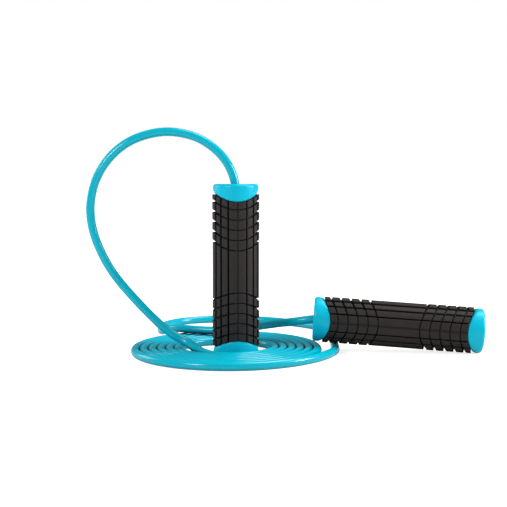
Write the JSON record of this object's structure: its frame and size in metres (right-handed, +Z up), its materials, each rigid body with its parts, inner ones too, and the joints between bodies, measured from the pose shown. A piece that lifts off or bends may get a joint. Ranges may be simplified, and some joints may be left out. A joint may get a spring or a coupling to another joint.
{
  "type": "jump rope",
  "caption": "Jump rope with two thick tread-grip handles, smooth end caps and a coiled round cord; each handle spins on a ball bearing.",
  "frame": {"origin": "middle of the base face of the handle that stands upright, on the floor", "axes": "+Z up along the upright handle's axis, +X towards the lying handle, +Y from the side the loop and coil are seen from towards the back loop of cord"},
  "size_m": [0.3261, 0.2595, 0.1851],
  "materials": {
    "cap_plastic": "smooth moulded cyan plastic, semi-gloss",
    "cord_pvc": "extruded cyan PVC, glossy",
    "grip_rubber": "moulded black rubber, matt, fine grain",
    "core_plastic": "hard black moulded plastic",
    "cage_nylon": "natural nylon",
    "bearing_steel": "ground bearing steel",
    "crimp_steel": "zinc-plated steel"
  },
  "bodies": {
    "rope": {"cord_loop": "cord_pvc", "cord_coil": "cord_pvc", "cord_tail": "cord_pvc", "handle_a_cord_end": "cord_pvc", "handle_a_ferrule": "crimp_steel", "handle_a_thrust_washer": "crimp_steel", "handle_a_inner_race": "bearing_steel", "handle_b_cord_end": "cord_pvc", "handle_b_ferrule": "crimp_steel", "handle_b_thrust_washer": "crimp_steel", "handle_b_inner_race": "bearing_steel"},
    "handle_a": {"handle_a_grip": "grip_rubber", "handle_a_core_tube": "core_plastic", "handle_a_cord_cap": "cap_plastic", "handle_a_base_cap": "cap_plastic", "handle_a_outer_race": "bearing_steel"},
    "handle_a_cage": {"handle_a_ball_cage": "cage_nylon", "handle_a_ball_1": "bearing_steel", "handle_a_ball_2": "bearing_steel", "handle_a_ball_3": "bearing_steel", "handle_a_ball_4": "bearing_steel", "handle_a_ball_5": "bearing_steel", "handle_a_ball_6": "bearing_steel", "handle_a_ball_7": "bearing_steel"},
    "handle_b": {"handle_b_grip": "grip_rubber", "handle_b_core_tube": "core_plastic", "handle_b_cord_cap": "cap_plastic", "handle_b_base_cap": "cap_plastic", "handle_b_outer_race": "bearing_steel"},
    "handle_b_cage": {"handle_b_ball_cage": "cage_nylon", "handle_b_ball_1": "bearing_steel", "handle_b_ball_2": "bearing_steel", "handle_b_ball_3": "bearing_steel", "handle_b_ball_4": "bearing_steel", "handle_b_ball_5": "bearing_steel", "handle_b_ball_6": "bearing_steel", "handle_b_ball_7": "bearing_steel"}
  },
  "joints": [
    {"name": "handle_a_swivel", "type": "hinge", "parent": "rope", "child": "handle_a", "pos_m": [0, 0, 0.1322], "axis": [0, 0, 1], "continuous": true},
    {"name": "handle_a_cage_turn", "type": "hinge", "parent": "rope", "child": "handle_a_cage", "pos_m": [0, 0, 0.1322], "axis": [0, 0, 1], "continuous": true},
    {"name": "handle_b_swivel", "type": "hinge", "parent": "rope", "child": "handle_b", "pos_m": [0.07226, 0.01939, 0.02687], "axis": [-0.9949, 0.0783, 0.0631], "continuous": true},
    {"name": "handle_b_cage_turn", "type": "hinge", "parent": "rope", "child": "handle_b_cage", "pos_m": [0.07226, 0.01939, 0.02687], "axis": [-0.9949, 0.0783, 0.0631], "continuous": true}
  ],
  "couplings": [
    {"joint": "handle_a_cage_turn", "follows": "handle_a_swivel", "ratio": 0.63},
    {"joint": "handle_b_cage_turn", "follows": "handle_b_swivel", "ratio": 0.63}
  ]
}
